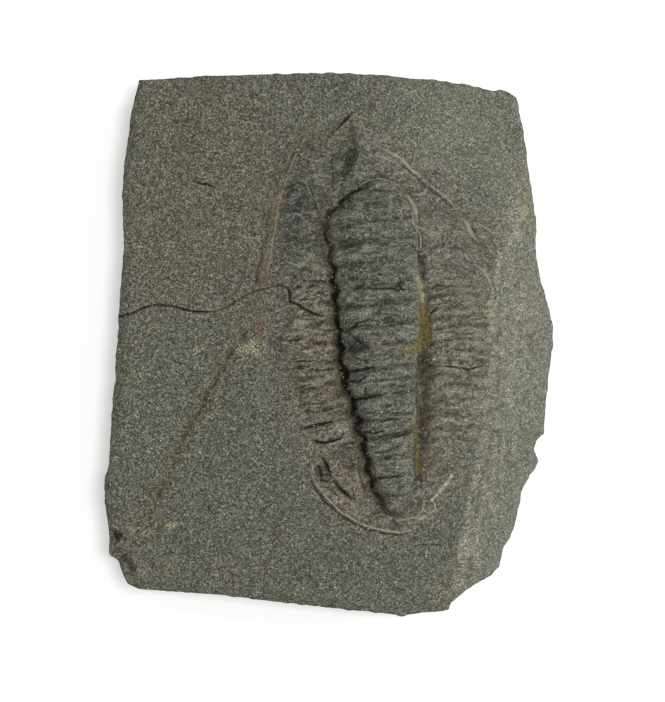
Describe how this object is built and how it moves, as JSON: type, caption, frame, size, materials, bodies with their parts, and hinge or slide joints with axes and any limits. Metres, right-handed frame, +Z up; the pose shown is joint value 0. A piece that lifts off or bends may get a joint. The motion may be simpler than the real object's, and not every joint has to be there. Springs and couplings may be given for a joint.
{
  "type": "trilobite fossil",
  "caption": "Flat broken slab of fine sandstone with a raised internal mould of a ringed trilobite on its top face, shown lying as a specimen.",
  "frame": {"origin": "middle of the flat underside, in the middle of the slab's box seen from above", "axes": "+Z up out of the face that carries the fossil, +Y towards the fossil's head, +X to the right as it is looked down on with the head away"},
  "size_m": [0.0406, 0.049, 0.0104],
  "materials": {
    "stone": "matt fine-grained greenish-grey sandstone with rusty and olive-yellow mineral stains"
  },
  "bodies": {
    "root": {"fossil_slab": "stone"}
  },
  "joints": []
}
